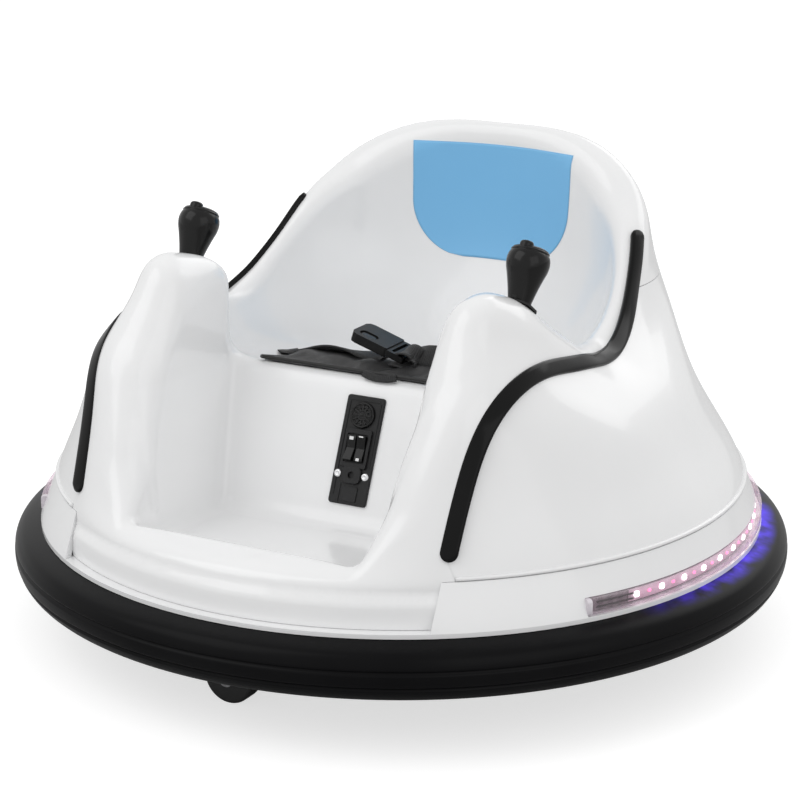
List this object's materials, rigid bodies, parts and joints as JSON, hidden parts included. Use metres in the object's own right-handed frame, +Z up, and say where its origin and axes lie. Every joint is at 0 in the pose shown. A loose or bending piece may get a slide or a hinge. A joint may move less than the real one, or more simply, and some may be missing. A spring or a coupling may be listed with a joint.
{
  "type": "ride-on bumper car",
  "caption": "Child's battery ride-on bumper car: round white moulded body with a bucket seat, hand levers, black bumper ring and blue light strips.",
  "frame": {"origin": "on the floor under the centre of the bumper ring", "axes": "+Z up, -Y is the front of the car, +X is the rider's left"},
  "size_m": [0.7439, 0.744, 0.4464],
  "materials": {
    "white_shell": "smooth glossy injection moulded",
    "black_shell": "lightly textured moulded",
    "bumper_rubber": "satin, fine leather grain",
    "black_trim": "high gloss",
    "clear_lens": "clear glossy",
    "led_board": "white board with light emitting beads",
    "panel_plastic": "fine texture",
    "switch_plastic": "satin",
    "pad_fabric": "soft leatherette",
    "webbing": "woven webbing",
    "buckle_plastic": "satin",
    "battery_case": "smooth",
    "steel": "zinc plated",
    "tyre": "matt",
    "hub_plastic": "moulded",
    "caster_tread": "smooth"
  },
  "bodies": {
    "root": {"base_tray": "black_shell", "bumper_ring": "bumper_rubber", "base_skirt": "white_shell", "seat_shell": "white_shell", "outer_shell": "white_shell", "trim_strip_left": "black_trim", "trim_strip_right": "black_trim", "led_lens_left": "clear_lens", "led_lens_right": "clear_lens", "led_board_left": "led_board", "led_board_right": "led_board", "control_panel": "panel_plastic", "speaker": "panel_plastic", "switch_housing": "panel_plastic", "light_rocker": "switch_plastic", "power_rocker": "switch_plastic", "charge_port": "panel_plastic", "lever_slot_plate_left": "panel_plastic", "lever_slot_plate_right": "panel_plastic", "seat_pad": "pad_fabric", "belt_left": "webbing", "belt_right": "webbing", "buckle_socket": "buckle_plastic", "buckle_tongue": "buckle_plastic", "gearbox_left": "panel_plastic", "gearbox_right": "panel_plastic", "battery": "battery_case", "caster_mount_front": "steel", "caster_mount_rear": "steel"},
    "lever_left": {"lever_stem_left": "black_trim", "lever_knob_left": "black_trim", "lever_button_left": "switch_plastic"},
    "lever_right": {"lever_stem_right": "black_trim", "lever_knob_right": "black_trim", "lever_button_right": "switch_plastic"},
    "wheel_left": {"drive_tyre_left": "tyre", "drive_hub_left": "hub_plastic"},
    "wheel_right": {"drive_tyre_right": "tyre", "drive_hub_right": "hub_plastic"},
    "caster_front": {"caster_fork_front": "steel"},
    "caster_rear": {"caster_fork_rear": "steel"},
    "caster_roller_front": {"caster_wheel_front": "caster_tread"},
    "caster_roller_rear": {"caster_wheel_rear": "caster_tread"}
  },
  "joints": [
    {"name": "wheel_left_spin", "type": "hinge", "parent": "root", "child": "wheel_left", "pos_m": [0.2, 0, 0.055], "axis": [1, 0, 0], "continuous": true},
    {"name": "lever_left_tilt", "type": "hinge", "parent": "root", "child": "lever_left", "pos_m": [0.172, -0.109, 0.332], "axis": [1, 0, 0], "range_deg": [-10, 10], "stiffness_Nm_per_rad": 0.5},
    {"name": "wheel_right_spin", "type": "hinge", "parent": "root", "child": "wheel_right", "pos_m": [-0.2, 0, 0.055], "axis": [1, 0, 0], "continuous": true},
    {"name": "lever_right_tilt", "type": "hinge", "parent": "root", "child": "lever_right", "pos_m": [-0.172, -0.109, 0.332], "axis": [1, 0, 0], "range_deg": [-10, 10], "stiffness_Nm_per_rad": 0.5},
    {"name": "caster_front_swivel", "type": "hinge", "parent": "root", "child": "caster_front", "pos_m": [0, -0.27, 0.06], "axis": [0, 0, 1], "continuous": true},
    {"name": "caster_front_roll", "type": "hinge", "parent": "caster_front", "child": "caster_roller_front", "pos_m": [-0.022, -0.27, 0.025], "axis": [0, 1, 0], "continuous": true},
    {"name": "caster_rear_swivel", "type": "hinge", "parent": "root", "child": "caster_rear", "pos_m": [0, 0.27, 0.06], "axis": [0, 0, 1], "continuous": true},
    {"name": "caster_rear_roll", "type": "hinge", "parent": "caster_rear", "child": "caster_roller_rear", "pos_m": [-0.022, 0.27, 0.025], "axis": [0, 1, 0], "continuous": true}
  ]
}
